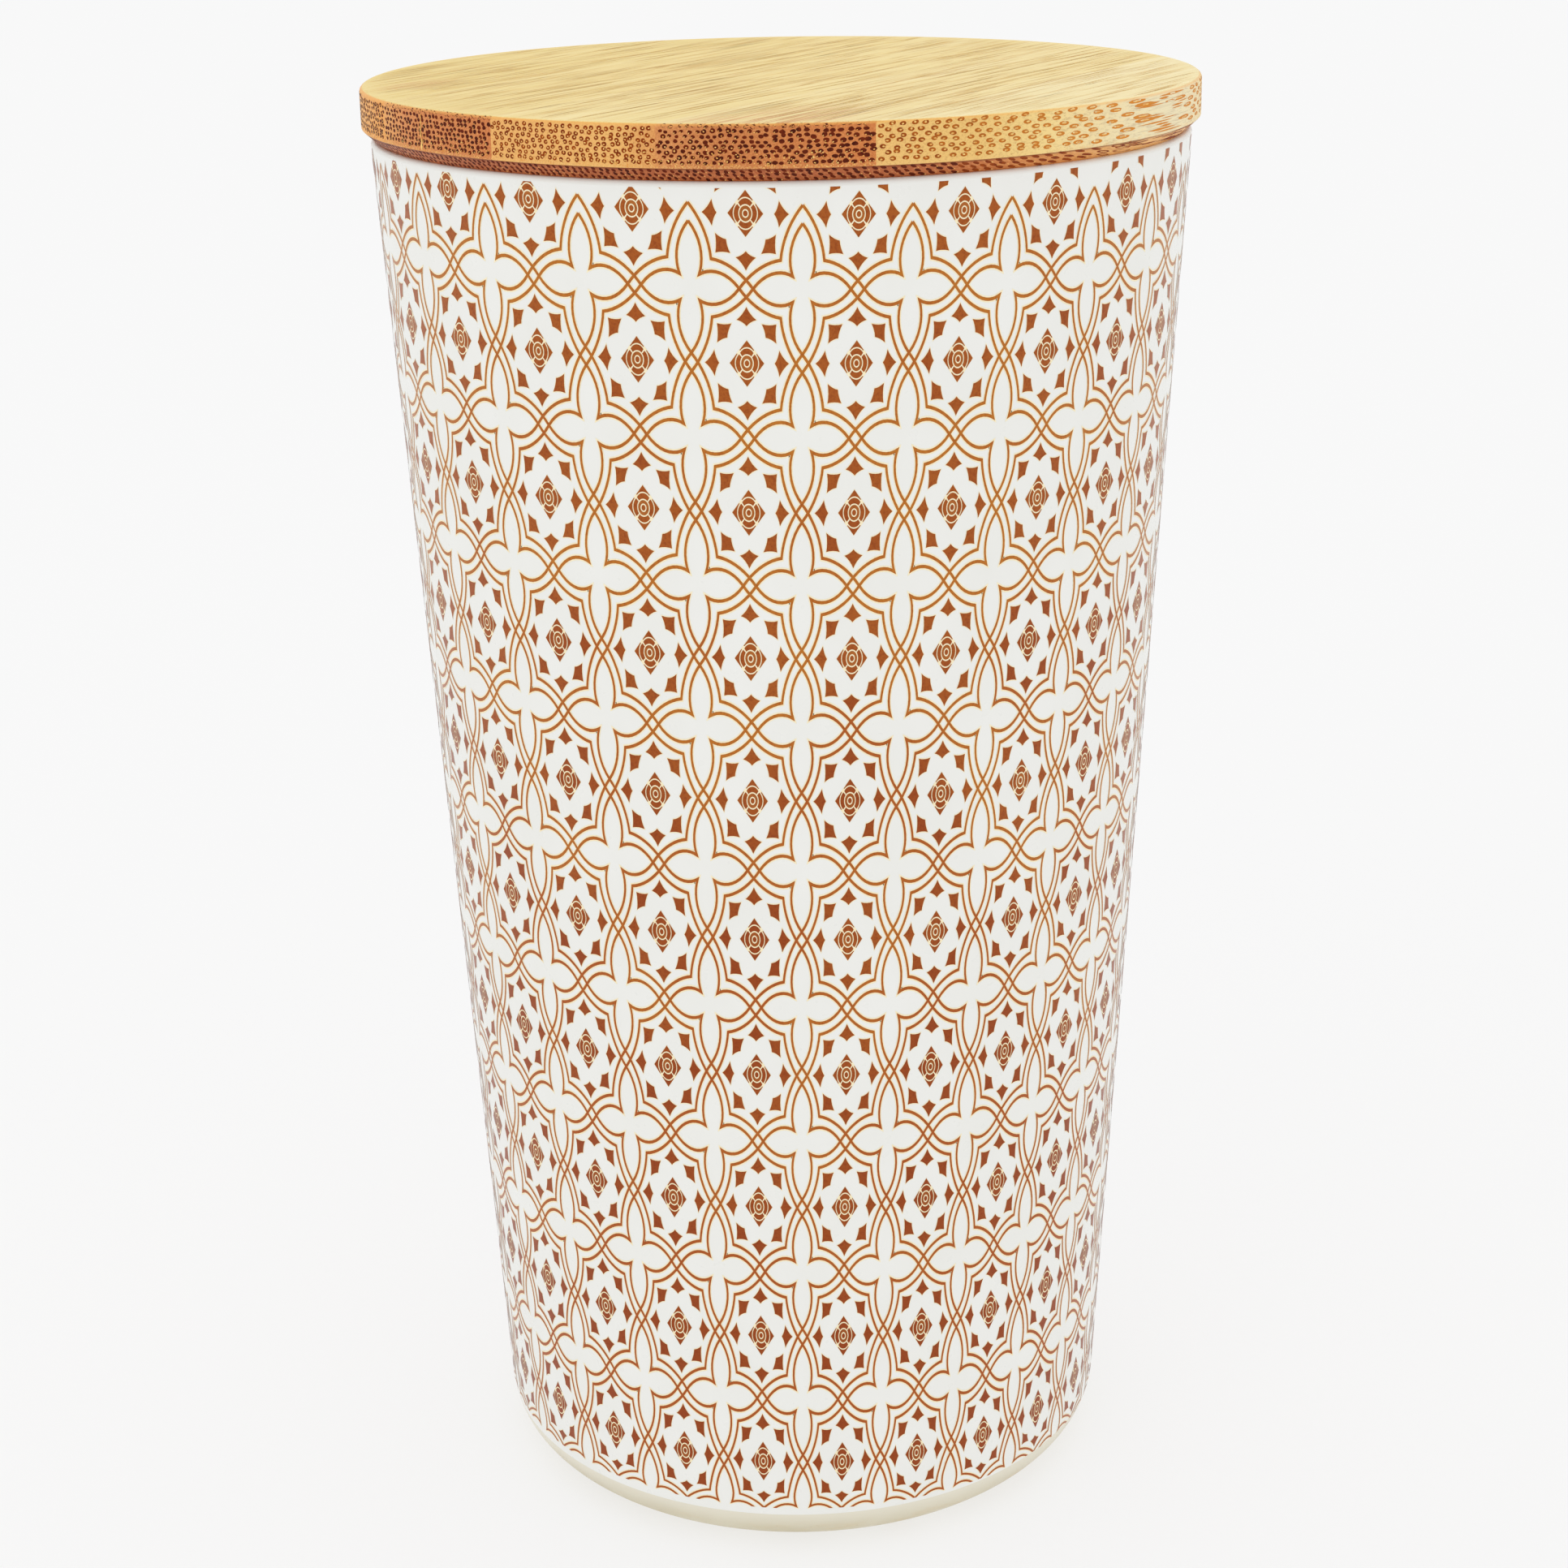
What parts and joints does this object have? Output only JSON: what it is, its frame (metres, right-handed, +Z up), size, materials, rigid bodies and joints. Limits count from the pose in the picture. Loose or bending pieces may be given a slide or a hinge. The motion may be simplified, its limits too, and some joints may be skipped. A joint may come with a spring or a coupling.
{
  "type": "storage canister",
  "caption": "Tall tapered canister for coffee: white moulded jar with a printed tile-lattice foil, rounded heel, and a round bamboo lid with a sealed plug.",
  "frame": {"origin": "centre of the face that the jar stands on", "axes": "+Z up along the axis of the jar and lid, front towards -Y, +X to the right seen from the front"},
  "size_m": [0.104, 0.104, 0.1858],
  "materials": {
    "jar": "gloss",
    "foil": "gloss",
    "seal": "translucent silicone",
    "bamboo_upper": "satin",
    "bamboo_lower": "satin"
  },
  "bodies": {
    "jar": {"jar_body": "jar", "printed_foil": "foil"},
    "seal": {"seal_ring": "seal"},
    "lid": {"upper_stave_1": "bamboo_upper", "upper_stave_2": "bamboo_upper", "upper_stave_3": "bamboo_upper", "upper_stave_4": "bamboo_upper", "upper_stave_5": "bamboo_upper", "lower_stave_1": "bamboo_lower", "lower_stave_2": "bamboo_lower", "lower_stave_3": "bamboo_lower", "lower_stave_4": "bamboo_lower", "lower_stave_5": "bamboo_lower"}
  },
  "joints": [
    {"name": "lid_lift", "type": "slide", "parent": "jar", "child": "seal", "axis": [0, 0, 1], "range_m": [0, 0.11]},
    {"name": "lid_turn", "type": "hinge", "parent": "seal", "child": "lid", "pos_m": [0, 0, 0.1764], "axis": [0, 0, 1], "continuous": true}
  ]
}
